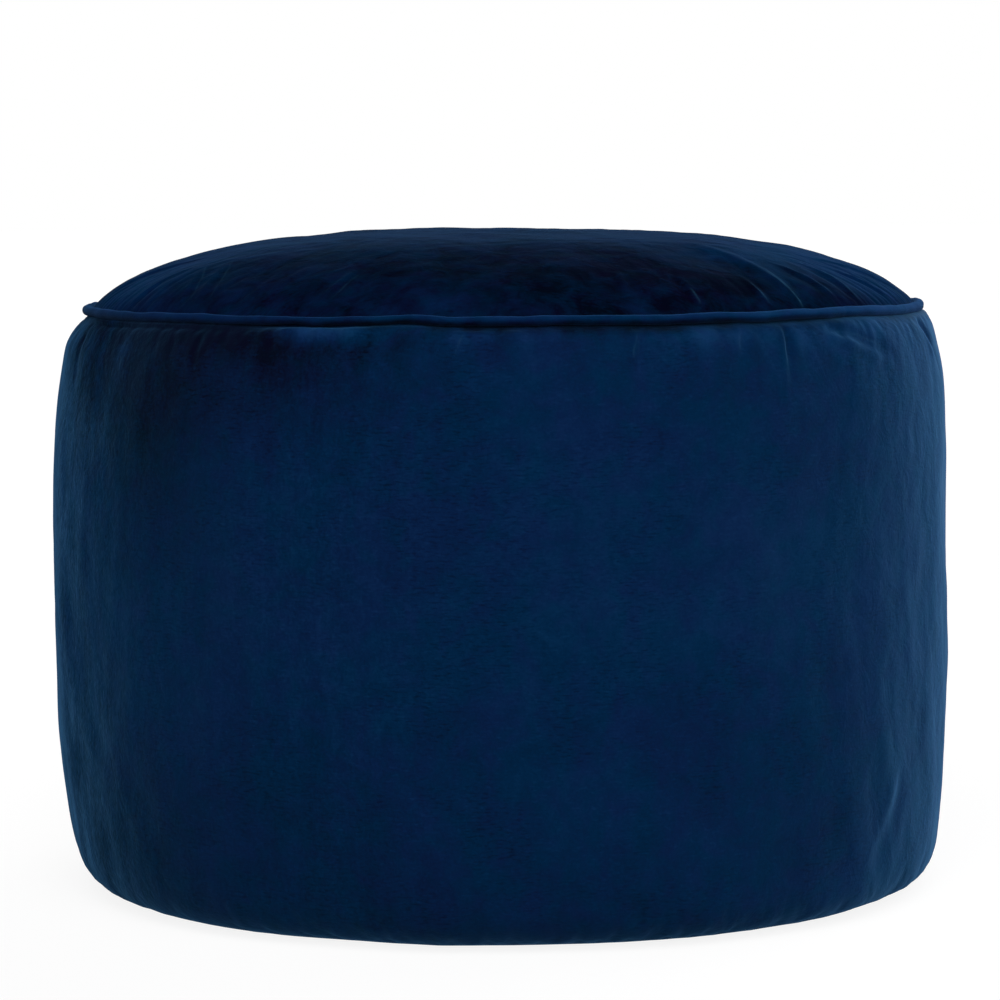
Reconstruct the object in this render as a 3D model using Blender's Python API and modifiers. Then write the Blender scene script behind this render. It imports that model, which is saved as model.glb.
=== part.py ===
"""A round bean bag footstool in dark blue velvet.

Four pieces are sewn together: a domed top panel, a tall side panel that is drawn in at both
ends, a flat base panel under it, and a covered piping cord in the seam between top and side.
The bag is filled, so each panel is a solid out to the form that its cloth takes.

Metres, +Z up. The floor is z = 0, the origin is on the floor under the middle, and -Y is the
front. An azimuth is in degrees round +Z, from +X (the right) towards +Y (the back), so the
front is at -90.
"""

from math import atan2, cos, degrees, pi, radians, sin

import bpy
from mathutils import Vector

# Driving dimensions
SEAM_HEIGHT = 0.321  # floor to the middle of the top piping
CROWN_RISE = 0.0433  # how far the filled top stands above the seam
PIPING_RING_RADIUS = 0.2312
PIPING_RADIUS = 0.00275
BASE_RADIUS = 0.2
BASE_THICKNESS = 0.0025
BASE_EDGE_ROUND = 0.0008
GAP = 0.0003  # between pieces that touch
TURN_STEPS = 120
PIPING_BEVEL_RESOLUTION = 2

# The crown is a flattened dome: height = CROWN_RISE * (1 - share ** FULLNESS) ** ROUNDNESS
CROWN_FULLNESS = 3.2
CROWN_ROUNDNESS = 0.7
CROWN_RING_SHARES = (1.0, 0.988, 0.965, 0.93, 0.88, 0.81, 0.72, 0.6, 0.45, 0.25, 0.0)

# The filled side from the floor up: height, radius at the left, radius at the right.
SIDE_SECTIONS = (
    (0.0000, 0.2040, 0.2080),
    (0.0025, 0.2190, 0.2240),
    (0.0080, 0.2310, 0.2355),
    (0.0180, 0.2385, 0.2420),
    (0.0380, 0.2430, 0.2458),
    (0.0800, 0.2477, 0.2485),
    (0.1250, 0.2497, 0.2495),
    (0.1700, 0.2512, 0.2490),
    (0.2150, 0.2522, 0.2484),
    (0.2550, 0.2492, 0.2478),
    (0.2820, 0.2447, 0.2460),
    (0.3000, 0.2405, 0.2434),
    (0.3095, 0.2364, 0.2406),
    (0.3150, 0.2332, 0.2374),
)
SIDE_RADIUS = 0.25  # the side's folds are laid out flat at this radius
SEAM_SHIFT = 0.0021  # the seam ring sits this far to the right of the floor's centre
GROOVE_RADIUS = 0.0033  # the side's cloth lies round the lower half of the piping at this radius
GROOVE_ANGLES = (300, 265, 230)  # in the piping's section, from its outer side down and inward

# Where the seam rides up or down: azimuth, half width in degrees, rise.
SEAM_RISES = (
    (-103.0, 9.0, 0.0011),
    (-39.0, 12.0, 0.0010),
    (-148.0, 14.0, -0.0005),
    (-70.0, 10.0, -0.0004),
    (12.0, 16.0, -0.0007),
    (58.0, 12.0, 0.0009),
    (101.0, 15.0, -0.0006),
    (146.0, 11.0, 0.0010),
)

# Creases in the crown, each a soft trough in plan: azimuth and share of the radius at its outer
# end, the same at its inner end, half width, depth.
CROWN_CREASES = (
    (-15.0, 0.985, -28.0, 0.70, 0.013, 0.0030),
    (-35.0, 0.980, -40.5, 0.68, 0.013, 0.0030),
    (-47.5, 0.985, -34.0, 0.55, 0.013, 0.0036),
    (-52.5, 0.975, -42.0, 0.55, 0.013, 0.0036),
    (-63.5, 0.975, -66.5, 0.78, 0.012, 0.0022),
    (-72.0, 0.970, -69.0, 0.68, 0.012, 0.0022),
    (-116.0, 0.980, -110.0, 0.80, 0.012, 0.0024),
    (-131.0, 0.980, -134.5, 0.74, 0.013, 0.0023),
    (-137.0, 0.980, -141.0, 0.78, 0.012, 0.0020),
    (-168.0, 0.975, -160.0, 0.72, 0.013, 0.0024),
    (163.0, 0.980, 168.0, 0.66, 0.013, 0.0027),
    (141.0, 0.980, 133.0, 0.72, 0.013, 0.0021),
    (108.0, 0.980, 112.0, 0.62, 0.013, 0.0030),
    (84.0, 0.975, 79.0, 0.74, 0.013, 0.0021),
    (55.0, 0.980, 62.0, 0.66, 0.013, 0.0027),
    (21.0, 0.980, 15.0, 0.70, 0.013, 0.0024),
)

# Folds in the side, each a soft trough: azimuth and height at its upper end, the same at its
# lower end, half width, depth. A negative depth is a ridge.
SIDE_FOLDS = (
    (-20.5, 0.311, -15.0, 0.282, 0.014, 0.0025),
    (-32.5, 0.296, -46.0, 0.311, 0.013, 0.0028),
    (-52.5, 0.313, -54.0, 0.278, 0.014, 0.0025),
    (-71.0, 0.312, -72.0, 0.288, 0.014, 0.0018),
    (-95.0, 0.313, -95.5, 0.290, 0.014, 0.0018),
    (-107.0, 0.308, -119.0, 0.306, 0.014, -0.0020),
    (-137.0, 0.311, -134.0, 0.276, 0.014, 0.0020),
    (-163.0, 0.311, -161.0, 0.272, 0.014, 0.0028),
    (-162.0, 0.175, -155.0, 0.103, 0.026, 0.0034),
    (-155.0, 0.103, -143.0, 0.072, 0.024, 0.0032),
    (-145.0, 0.095, -136.0, 0.030, 0.024, 0.0028),
    (-28.0, 0.180, -24.0, 0.095, 0.030, 0.0024),
    (-31.0, 0.075, -39.0, 0.024, 0.022, 0.0026),
    (10.0, 0.310, 13.0, 0.270, 0.014, 0.0024),
    (47.0, 0.311, 45.0, 0.262, 0.014, 0.0026),
    (90.0, 0.311, 90.0, 0.020, 0.013, 0.0020),
    (128.0, 0.310, 131.0, 0.270, 0.014, 0.0024),
    (172.0, 0.310, 170.0, 0.274, 0.014, 0.0024),
    (60.0, 0.120, 48.0, 0.055, 0.026, 0.0030),
    (135.0, 0.140, 146.0, 0.060, 0.026, 0.0030),
)

VELVET = (0.0034, 0.0122, 0.0452, 1.0)
VELVET_PIPING = (0.0046, 0.0160, 0.0560, 1.0)
UNDERSIDE_CLOTH = (0.0060, 0.0070, 0.0100, 1.0)


def clear_scene():
    for thing in list(bpy.data.objects):
        bpy.data.objects.remove(thing, do_unlink=True)


def cloth_material(name, colour, roughness, sheen):
    material = bpy.data.materials.new(name)
    material.use_nodes = True
    shader = material.node_tree.nodes["Principled BSDF"]
    shader.inputs["Base Color"].default_value = colour
    shader.inputs["Roughness"].default_value = roughness
    shader.inputs["Metallic"].default_value = 0.0
    shader.inputs["Sheen Weight"].default_value = sheen
    return material


def turned_mesh(name, profile):
    """The profile, as (radius, height) pairs that run down its outer side, turned round +Z."""
    mesh = bpy.data.meshes.new(name)
    corners = [(radius, 0.0, height) for radius, height in profile]
    edges = [(i, i + 1) for i in range(len(corners) - 1)]
    mesh.from_pydata(corners, edges, [])
    outline = bpy.data.objects.new(name, mesh)
    bpy.context.scene.collection.objects.link(outline)
    screw = outline.modifiers.new("turn", "SCREW")
    screw.steps = TURN_STEPS
    screw.render_steps = TURN_STEPS
    screw.use_merge_vertices = True
    screw.merge_threshold = 0.00005
    evaluated = outline.evaluated_get(bpy.context.evaluated_depsgraph_get())
    turned = bpy.data.meshes.new_from_object(evaluated)
    bpy.data.objects.remove(outline, do_unlink=True)
    bpy.data.meshes.remove(mesh)
    return turned


def bell(distance, half_width):
    """1 at the middle, falling softly to 0 at the half width."""
    share = min(abs(distance) / half_width, 1.0)
    return (1 - share**2) ** 2


def turn_between(first, second):
    """The smaller turn from one azimuth to the other, in degrees."""
    return (second - first + 180) % 360 - 180


def seam_rise(azimuth):
    return sum(
        rise * bell(turn_between(azimuth, middle), half_width)
        for middle, half_width, rise in SEAM_RISES
    )


def trough(point, upper, lower, half_width, depth):
    """The depth at a point of a trough between two points of the same plane or unrolled side."""
    way = lower - upper
    share = max(0.0, min(1.0, (point - upper).dot(way) / way.length_squared))
    fade = sin(pi * share**0.6)
    return depth * fade * bell((point - upper - way * share).length, half_width)


def azimuth_of(point):
    return degrees(atan2(point.y, point.x))


def on_circle(azimuth, radius):
    return Vector((radius * cos(radians(azimuth)), radius * sin(radians(azimuth))))


def on_side(azimuth, height):
    """A point of the side when it is unrolled flat: distance round, height."""
    return Vector((radians(azimuth) * SIDE_RADIUS, height))


def fold_depth(azimuth, height, folds):
    """All the folds' depth at one point, also across the line where the unrolled side closes."""
    girth = 2 * pi * SIDE_RADIUS
    point = on_side(azimuth, height)
    return sum(
        trough(point + Vector((turn * girth, 0)), *fold) for fold in folds for turn in (-1, 0, 1)
    )


def crown_height(share):
    return CROWN_RISE * (1 - share**CROWN_FULLNESS) ** CROWN_ROUNDNESS


def side_lean(height):
    """How far the side's rings lie to the right of the floor's centre at a height."""
    for lower, upper in zip(SIDE_SECTIONS, SIDE_SECTIONS[1:]):
        if height <= upper[0]:
            way = (height - lower[0]) / (upper[0] - lower[0])
            return (lower[2] - lower[1]) / 2 * (1 - way) + (upper[2] - upper[1]) / 2 * way
    return SEAM_SHIFT


def rim_radius():
    """Where the two sewn panels end, just inside the piping."""
    return PIPING_RING_RADIUS - PIPING_RADIUS - GAP


def piping_section(angle, radius):
    """A point round the middle of the piping's section, as (radius, height) from the axis."""
    turn = radians(angle)
    return (PIPING_RING_RADIUS + radius * cos(turn), SEAM_HEIGHT + radius * sin(turn))


def finish(name, mesh, material, collection):
    piece = bpy.data.objects.new(name, mesh)
    mesh.name = name
    mesh.materials.clear()
    mesh.materials.append(material)
    mesh.shade_smooth()
    mesh.set_sharp_from_angle(angle=radians(50))
    collection.objects.link(piece)
    return piece


def top_panel(collection):
    """The domed, filled top: a crown over the seam's plane, creased in towards the middle."""
    rim = rim_radius()
    floor = SEAM_HEIGHT + GAP / 2
    profile = [(rim * share, floor + crown_height(share)) for share in reversed(CROWN_RING_SHARES)]
    mesh = turned_mesh("top_panel", profile + [(0.0, floor)])
    creases = [
        (on_circle(outer, rim * outer_share), on_circle(inner, rim * inner_share), width, depth)
        for outer, outer_share, inner, inner_share, width, depth in CROWN_CREASES
    ]
    for vertex in mesh.vertices:
        place = vertex.co.xy
        share = place.length / rim
        on_crown = vertex.co.z > floor + GAP
        if on_crown:
            vertex.co.z -= sum(trough(place, *crease) for crease in creases)
        vertex.co.z += seam_rise(azimuth_of(place)) * share**4
        vertex.co.x += SEAM_SHIFT
    return finish("top_panel", mesh, cloth_material("velvet_top", VELVET, 0.85, 0.6), collection)


def side_panel(collection):
    """The tall, filled side: a bulging drum, drawn in at the seam and rounded at the foot."""
    rim = rim_radius()
    top = SEAM_HEIGHT - GAP / 2
    skin = [((left + right) / 2, height) for height, left, right in SIDE_SECTIONS]
    skin_top = SIDE_SECTIONS[-1][0]
    groove = [piping_section(angle, GROOVE_RADIUS) for angle in GROOVE_ANGLES]
    base_top = BASE_THICKNESS + GAP
    foot_edge = BASE_RADIUS + GAP
    profile = [(0.0, top), (rim, top)] + groove[::-1] + skin[::-1]
    profile += [(foot_edge, 0.0), (foot_edge, base_top), (0.0, base_top)]
    mesh = turned_mesh("side_panel", profile)
    folds = [
        (on_side(high, high_height), on_side(low, low_height), width, depth)
        for high, high_height, low, low_height, width, depth in SIDE_FOLDS
    ]
    for vertex in mesh.vertices:
        place = vertex.co.xy
        height = vertex.co.z
        over_base_panel = place.length < foot_edge + GAP and height < base_top + GAP
        if over_base_panel:
            continue
        azimuth = azimuth_of(place)
        if GAP < height < skin_top:
            drawn_in = fold_depth(azimuth, height, folds)
            vertex.co.xy = place * (1 - drawn_in / place.length)
        lift = min(1.0, height / skin_top) ** 6 * min(1.0, place.length / rim) ** 4
        vertex.co.z += seam_rise(azimuth) * lift
        vertex.co.x += side_lean(height)
    return finish("side_panel", mesh, cloth_material("velvet_side", VELVET, 0.85, 0.6), collection)


def base_panel(collection):
    """The flat disc of plain cloth that the footstool stands on."""
    edge = BASE_RADIUS
    profile = [
        (0.0, BASE_THICKNESS),
        (edge, BASE_THICKNESS),
        (edge, BASE_EDGE_ROUND),
        (edge - BASE_EDGE_ROUND, 0.0),
        (0.0, 0.0),
    ]
    mesh = turned_mesh("base_panel", profile)
    material = cloth_material("underside_cloth", UNDERSIDE_CLOTH, 0.95, 0.1)
    return finish("base_panel", mesh, material, collection)


def piping(collection):
    """The covered cord in the top seam: one closed ring that follows the seam's waves."""
    curve = bpy.data.curves.new("piping", "CURVE")
    curve.dimensions = "3D"
    curve.bevel_depth = PIPING_RADIUS
    curve.bevel_resolution = PIPING_BEVEL_RESOLUTION
    line = curve.splines.new("POLY")
    line.points.add(TURN_STEPS - 1)
    line.use_cyclic_u = True
    for step, point in enumerate(line.points):
        azimuth = 360 * step / TURN_STEPS
        place = on_circle(azimuth, PIPING_RING_RADIUS)
        height = SEAM_HEIGHT + seam_rise(turn_between(0, azimuth))
        point.co = (place.x + SEAM_SHIFT, place.y, height, 1.0)
    ring = bpy.data.objects.new("piping_line", curve)
    bpy.context.scene.collection.objects.link(ring)
    evaluated = ring.evaluated_get(bpy.context.evaluated_depsgraph_get())
    mesh = bpy.data.meshes.new_from_object(evaluated)
    bpy.data.objects.remove(ring, do_unlink=True)
    bpy.data.curves.remove(curve)
    material = cloth_material("velvet_piping", VELVET_PIPING, 0.8, 0.6)
    return finish("piping", mesh, material, collection)


def centre_over_origin(pieces):
    """Moves all the pieces together, so that their common box is centred over the origin."""
    corners = [vertex.co for piece in pieces for vertex in piece.data.vertices]
    middle_x = (min(c.x for c in corners) + max(c.x for c in corners)) / 2
    middle_y = (min(c.y for c in corners) + max(c.y for c in corners)) / 2
    for piece in pieces:
        for vertex in piece.data.vertices:
            vertex.co.x -= middle_x
            vertex.co.y -= middle_y


def main():
    clear_scene()
    footstool = bpy.data.collections.new("bean_bag_footstool")
    bpy.context.scene.collection.children.link(footstool)
    pieces = [
        top_panel(footstool),
        side_panel(footstool),
        base_panel(footstool),
        piping(footstool),
    ]
    centre_over_origin(pieces)


main()
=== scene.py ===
"""The looks of a round bean bag footstool in dark blue velvet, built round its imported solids.

Metres, +Z up, -Y the front. An azimuth is in degrees round +Z from +X (the right) towards +Y
(the back), so the front is at -90; a half width given beside nothing but an azimuth is in
degrees too. The cloth's own places are (distance round, height) on the side and (x, y) in
plan on the crown.
"""

from math import cos, pi, radians, sin

import bpy
import numpy as np
from mathutils import Matrix, Vector


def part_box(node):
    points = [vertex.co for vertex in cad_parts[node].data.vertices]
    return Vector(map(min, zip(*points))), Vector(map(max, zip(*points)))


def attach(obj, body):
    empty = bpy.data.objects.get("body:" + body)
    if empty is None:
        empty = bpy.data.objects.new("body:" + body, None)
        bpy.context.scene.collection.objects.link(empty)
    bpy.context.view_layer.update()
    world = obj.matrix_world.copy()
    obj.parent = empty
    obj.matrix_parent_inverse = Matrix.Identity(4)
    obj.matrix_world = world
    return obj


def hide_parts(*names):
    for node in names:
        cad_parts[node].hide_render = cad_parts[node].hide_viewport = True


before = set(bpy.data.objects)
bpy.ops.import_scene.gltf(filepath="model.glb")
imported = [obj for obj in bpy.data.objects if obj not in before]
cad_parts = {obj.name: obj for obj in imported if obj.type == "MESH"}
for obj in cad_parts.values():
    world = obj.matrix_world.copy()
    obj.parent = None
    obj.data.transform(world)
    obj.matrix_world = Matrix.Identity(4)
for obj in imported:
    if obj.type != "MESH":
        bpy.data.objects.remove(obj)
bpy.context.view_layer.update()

# ---- sizes from the frame
PIPING_LOW, PIPING_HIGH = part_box("piping")
BASE_LOW, BASE_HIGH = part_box("base_panel")
TOP_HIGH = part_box("top_panel")[1]
PIPING_RADIUS = 0.00275
PIPING_RING_RADIUS = (PIPING_HIGH.y - PIPING_LOW.y) / 2 - PIPING_RADIUS
AXIS_X = (BASE_LOW.x + BASE_HIGH.x) / 2
AXIS_Y = (BASE_LOW.y + BASE_HIGH.y) / 2
SEAM_SHIFT = (PIPING_LOW.x + PIPING_HIGH.x) / 2 - AXIS_X
BASE_RADIUS = (BASE_HIGH.x - BASE_LOW.x) / 2
BASE_THICKNESS = BASE_HIGH.z
SEAM_HEIGHT = 0.321
SWELL_ROOM = 0.001
CROWN_RISE = TOP_HIGH.z - SEAM_HEIGHT - SWELL_ROOM
GAP = 0.0003
RIM_RADIUS = PIPING_RING_RADIUS - PIPING_RADIUS - GAP
SIDE_RADIUS = 0.25
FRONT, BACK = -90, 90

# The filled side from the floor up: height, radius at the left, radius at the right.
SIDE_SECTIONS = (
    (0, 0.204, 0.208),
    (0.0025, 0.219, 0.2248),
    (0.008, 0.231, 0.2366),
    (0.018, 0.2385, 0.243),
    (0.038, 0.2433, 0.246),
    (0.08, 0.2475, 0.2482),
    (0.125, 0.2488, 0.2485),
    (0.17, 0.2496, 0.248),
    (0.215, 0.2498, 0.2482),
    (0.255, 0.2476, 0.248),
    (0.282, 0.2438, 0.2466),
    (0.3, 0.2405, 0.2434),
    (0.3085, 0.2366, 0.2412),
    (0.3132, 0.2335, 0.2392),
    (0.3158, 0.2304, 0.2368),
)
# Above them it wraps the piping: distance from the cord's middle, angles round it.
GROOVE_RADIUS = 0.0034
GROOVE_ANGLES = (195, 230)
CROWN_FULLNESS = 3.2
CROWN_ROUNDNESS = 0.7
CROWN_TILT = 0.0045
# Where the crown sags: azimuth, half width, depth.
CROWN_SAG = (-170, 70, 0.0008)
# The foot is a little square, and drawn in more at one place: azimuth, half width, share.
FOOT_SQUARENESS = 0.011
FOOT_DRAWN_IN = ((-110, 36, 0.006),)
FOOT_REACH = 0.025
FOOT_EDGE = 0.0025
# The side's edge, turned in round the base panel: distance from the panel, height.
UNDER_EDGE = ((0.0021, 0), (0.0006, 0.0012), (0.0004, 0.0028))
# The base panel: shares of its radius, then distance in from its edge, and height, as it turns up.
BASE_SHARES = (0.05, 0.2, 0.4, 0.6, 0.8, 0.93)
BASE_EDGE = ((0.0043, 0), (0.0015, 0.0003), (0.0006, 0.001), (0.0003, 0.0018))
BASE_BEVEL = 0.0005
BASE_TOP_SHARE = 0.9
BASE_STEPS = 240

# Where the seam rides up or down: azimuth, half width in degrees, rise.
SEAM_RISES = (
    (-103, 9, 0.0011),
    (-39, 12, 0.001),
    (-148, 14, -0.0005),
    (-70, 10, -0.0004),
    (12, 16, -0.0007),
    (58, 12, 0.0009),
    (101, 15, -0.0006),
    (146, 11, 0.001),
)

# Creases in the crown in plan: azimuth and share of the rim's radius at the outer end, the same
# at the inner end, half width, trough depth, crest height beside it. A negative width puts the
# crest on the other side of the trough.
CROWN_CREASES = (
    (-13, 0.985, -24, 0.76, 0.007, 0.0004, 0.0006),
    (-22.5, 0.985, -27, 0.8, 0.0055, 0.0004, 0.0006),
    (-34.8, 0.988, -31.8, 0.78, 0.0095, 0.0007, 0.0011),
    (-40.2, 0.978, -41, 0.8, 0.008, 0.0006, 0.001),
    (-49, 0.99, -49.5, 0.58, 0.022, 0.0006, 0.0013),
    (-53.3, 0.985, -52.8, 0.86, 0.007, 0.0006, 0.0009),
    (-63.9, 0.985, -64, 0.86, 0.0065, 0.0006, 0.0008),
    (-74, 0.975, -72, 0.78, 0.006, 0.0003, 0.0003),
    (-104, 0.985, -103, 0.9, 0.007, 0.0004, 0.0004),
    (-114.4, 0.97, -112.4, 0.82, -0.007, 0.0006, 0.0008),
    (-134.8, 0.98, -144.5, 0.76, -0.0065, 0.0006, 0.0007),
    (-138.6, 0.98, -147, 0.8, -0.006, 0.0005, 0.0006),
    (-152, 0.985, -150, 0.84, -0.007, 0.0005, 0.0005),
    (-168, 0.975, -160, 0.74, -0.008, 0.0007, 0.0006),
    (163, 0.985, 168, 0.66, 0.008, 0.001, 0.0008),
    (141, 0.985, 133, 0.72, 0.007, 0.0008, 0.0007),
    (124, 0.985, 127, 0.8, 0.006, 0.0006, 0.0005),
    (108, 0.985, 112, 0.62, 0.0085, 0.0011, 0.0009),
    (84, 0.985, 79, 0.74, 0.007, 0.0008, 0.0006),
    (55, 0.985, 62, 0.66, 0.008, 0.001, 0.0008),
    (40, 0.985, 37, 0.8, 0.006, 0.0006, 0.0005),
    (21, 0.985, 15, 0.7, 0.0075, 0.0008, 0.0007),
    (3, 0.985, 6, 0.8, 0.0065, 0.0006, 0.0006),
)

# Painted highlights: thin light lines along creases, where a crest catches the sheen. The two ends
# as above, how far the line bows sideways, and how light it is.
CROWN_HIGHLIGHT_LINES = (
    (-46.9, 0.985, -44.8, 0.73, 0.0018, 0.44),
    (-47, 0.994, -46.2, 0.86, 0.0004, 0.46),
    (-52.6, 0.982, -52, 0.91, 0, 0.38),
    (-39, 0.974, -39.6, 0.83, 0.0006, 0.36),
    (-33.8, 0.988, -30.6, 0.8, -0.0006, 0.44),
    (-21.6, 0.975, -26, 0.84, 0.001, 0.16),
    (-63.4, 0.98, -63.4, 0.93, 0.0002, 0.22),
    (-134.2, 0.962, -144, 0.78, 0.002, 0.11),
    (-138, 0.965, -146.7, 0.83, 0.002, 0.11),
    (-113.9, 0.955, -112.4, 0.85, 0.0004, 0.1),
    (150, 0.97, 146, 0.74, 0.003, 0.24),
    (104, 0.97, 107, 0.7, 0.004, 0.28),
    (62, 0.97, 66, 0.76, 0.003, 0.24),
    (24, 0.97, 19, 0.76, 0.003, 0.22),
)
# Painted highlight lines on the side, with azimuth and height at each end.
SIDE_HIGHLIGHT_LINES = (
    (-52.7, 0.3145, -53.5, 0.296, 0.0005, 0.24),
    (-46, 0.3115, -32, 0.2955, -0.004, 0.12),
    (-20.5, 0.311, -16, 0.288, 0.002, 0.16),
    (-73.8, 0.314, -74.2, 0.302, 0.0003, 0.12),
    (-95.2, 0.314, -95.8, 0.303, 0.0003, 0.1),
    (-163, 0.311, -161, 0.278, 0.002, 0.14),
    (128, 0.312, 131, 0.286, 0.001, 0.14),
    (47, 0.312, 45.5, 0.284, 0.001, 0.14),
)
HIGHLIGHT_LINE_WIDTH = 0.0006
HIGHLIGHT_LINE_SWAY = 0.003

# A fold's section, in half widths: how far aside its trough and crest lie, how spread they are.
# The last is a power of the way along it: below 1, it is fullest nearer its start.
FOLD_ASIDE = 0.35
TROUGH_SPREAD = 0.22
CREST_SPREAD = 0.05
FOLD_FULLEST = 0.6

# Folds in the side: azimuth and height at the upper end, the same at the lower end, half width,
# trough depth, crest height beside it.
SIDE_FOLDS = (
    (-19.5, 0.313, -14, 0.284, 0.008, 0.0016, 0.0008),
    (-46, 0.312, -31.5, 0.294, 0.0075, 0.0018, 0.0012),
    (-52.8, 0.315, -53.6, 0.284, 0.0055, 0.0013, 0.001),
    (-59.5, 0.315, -60.5, 0.298, 0.005, 0.0009, 0.0006),
    (-73.5, 0.315, -74, 0.292, 0.0055, 0.001, 0.0008),
    (-95, 0.315, -95.8, 0.296, 0.005, 0.0009, 0.0006),
    (-131.5, 0.314, -131, 0.29, 0.0055, 0.0008, 0.0003),
    (-163, 0.313, -160.5, 0.276, 0.008, 0.0008, 0.0004),
    (-161, 0.175, -155, 0.103, 0.026, 0.001, 0.0006),
    (-156, 0.11, -144, 0.07, 0.022, 0.001, 0.0007),
    (-146, 0.1, -137, 0.03, 0.022, 0.0009, 0.0005),
    (-28, 0.18, -24, 0.095, 0.028, 0.0009, 0.0005),
    (-31, 0.075, -39, 0.024, 0.016, 0.0014, 0.0008),
    (10, 0.312, 13, 0.276, 0.008, 0.0014, 0.0008),
    (47, 0.312, 45, 0.268, 0.0085, 0.0016, 0.0008),
    (128, 0.312, 131, 0.274, 0.008, 0.0014, 0.0008),
    (172, 0.312, 170, 0.278, 0.008, 0.0014, 0.0008),
    (60, 0.12, 48, 0.055, 0.018, 0.0018, 0.001),
    (135, 0.14, 146, 0.06, 0.018, 0.0018, 0.001),
)

# Where the filling pushes the cloth out under the piping: azimuth, height, half widths, rise.
SIDE_LUMPS = (
    (-143, 0.3138, 0.045, 0.0045, 0.001),
    (-116, 0.315, 0.036, 0.0032, 0.0026),
    (-117, 0.3125, 0.022, 0.0052, 0.0018),
    (-109.5, 0.313, 0.015, 0.005, 0.0015),
    (-110, 0.3162, 0.055, 0.003, 0.0014),
    (-100, 0.3125, 0.014, 0.0052, 0.0013),
    (-88, 0.3115, 0.018, 0.006, 0.0009),
    (-66, 0.3105, 0.022, 0.0065, 0.001),
    (-40, 0.306, 0.03, 0.011, 0.001),
)

# Where the cloth swells up against the piping and fills its groove: azimuth, half width in
# degrees, how far out it stands under the piping.
GROOVE_FILLS = ((-150, 40, 0.0038), (-8, 42, 0.003))
FILLED_ABOVE = 0.315
# Small puckers at the seam, drawn between two values each: degrees to the next one, depth, half
# width, reach, slant. On the crown, the depth is the deepest one times the square of a share.
SIDE_PUCKERS = ((1.2, 4.2), (0.0002, 0.0007), (0.0016, 0.0042), (0.01, 0.034), (-0.25, 0.25))
CROWN_PUCKERS = ((1.5, 4.5), (0.1, 1), (0.0014, 0.0035), (0.006, 0.03), (-0.3, 0.3))
DEEPEST_CROWN_PUCKER = 0.0005
# The filling's uneven swell as waves: height, length, how squat (on the side), seed.
SIDE_SWELLS = ((0.0007, 0.11, 0.6, 11), (0.00022, 0.034, 0.5, 12), (0.00007, 0.013, 0.6, 13))
CROWN_SWELLS = ((0.0004, 0.12, 21), (0.00025, 0.045, 22), (0.00006, 0.014, 23))
# The seam and the foot hold the cloth: how far from them these are free to rise.
SEAM_HOLD = 0.0035
FOLDS_FREE = 0.004
SWELL_FREE = 0.01
FOOT_FREE = 0.012
CREASES_FREE = 0.003
CROWN_SWELL_FREE = 0.012
SIDE_PUCKERS_FREE = 0.006
CROWN_PUCKERS_FREE = 0.004
# Where the gathers under the seam are shallower: azimuth, half width in degrees, share taken off.
SIDE_CALM = ((-147, 46, 0.5), (-26, 38, 0.4))
CROWN_CALM = ((-100, 110, 0.5),)
# The seam that closes the side at the back: azimuth, groove half width and depth, pucker depth.
# Its puckers reach wider, and differ on its two sides.
CLOSING_SEAM = (90, 0.0014, 0.001, 0.0004)
PUCKERS_WIDER = 5
SIDES_APART = 0.01
CLOSING_WAVES = (0.5, 0.013, 51)

# Where the velvet looks darker (below 0) or lighter (above 0) than the rest: partly its pile's own
# unevenness, partly painted shade and painted light. On the side: azimuth, height, half widths
# round and up, amount. The darker strips just under the piping are painted shade, the lighter ones
# there painted light.
SIDE_PILE_AND_PAINTED_LIGHT = (
    (-140, 0.292, 0.06, 0.072, -0.46),
    (-148, 0.313, 0.05, 0.006, -0.16),
    (-104, 0.275, 0.022, 0.035, 0.07),
    (-42, 0.02, 0.04, 0.022, 0.12),
    (-114, 0.3, 0.062, 0.034, -0.24),
    (-158, 0.3, 0.03, 0.06, -0.3),
    (-167, 0.302, 0.026, 0.046, -0.16),
    (-150, 0.06, 0.06, 0.07, -0.1),
    (-151, 0.03, 0.078, 0.055, -0.11),
    (-140, 0.315, 0.07, 0.005, -0.16),
    (-127, 0.314, 0.022, 0.006, -0.26),
    (-121, 0.313, 0.012, 0.0045, -0.1),
    (-74, 0.309, 0.022, 0.012, 0.07),
    (-132, 0.3115, 0.034, 0.011, -0.18),
    (-119.5, 0.305, 0.015, 0.01, -0.28),
    (-112, 0.306, 0.016, 0.006, -0.12),
    (-113.5, 0.3137, 0.019, 0.0038, 0.46),
    (-93.5, 0.3135, 0.01, 0.004, 0.3),
    (-84, 0.308, 0.022, 0.007, -0.14),
    (-61, 0.313, 0.03, 0.006, 0.24),
    (-67, 0.314, 0.018, 0.004, 0.14),
    (-48, 0.311, 0.024, 0.01, 0.14),
    (-39, 0.3125, 0.018, 0.006, 0.18),
)
# On the crown, where the darker front is painted shade and the lighter right painted light:
# azimuth, share of the rim's radius, half widths round and outward, amount.
CROWN_PILE_AND_PAINTED_LIGHT = (
    (-90, 0.8, 0.24, 0.12, -0.08),
    (-60, 0.86, 0.06, 0.03, -0.05),
    (-55.5, 0.91, 0.013, 0.014, -0.14),
    (-54, 0.97, 0.01, 0.007, 0.14),
    (-71.8, 0.96, 0.006, 0.012, 0.18),
    (-49, 0.74, 0.022, 0.014, 0.2),
    (-44.5, 0.85, 0.01, 0.018, 0.06),
    (-37, 0.885, 0.01, 0.014, -0.16),
    (-30, 0.8, 0.06, 0.05, 0.22),
    (-20, 0.85, 0.04, 0.03, 0.12),
    (-12, 0.84, 0.06, 0.07, 0.17),
    (-97, 0.975, 0.018, 0.008, 0.16),
    (-80, 0.79, 0.06, 0.03, -0.08),
    (-140, 0.86, 0.05, 0.04, -0.06),
    (-155, 0.94, 0.04, 0.02, 0.18),
    (-158, 0.8, 0.05, 0.05, 0.14),
    (-163, 0.93, 0.045, 0.036, 0.18),
    (-36, 0.985, 0.022, 0.007, -0.2),
)
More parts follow.
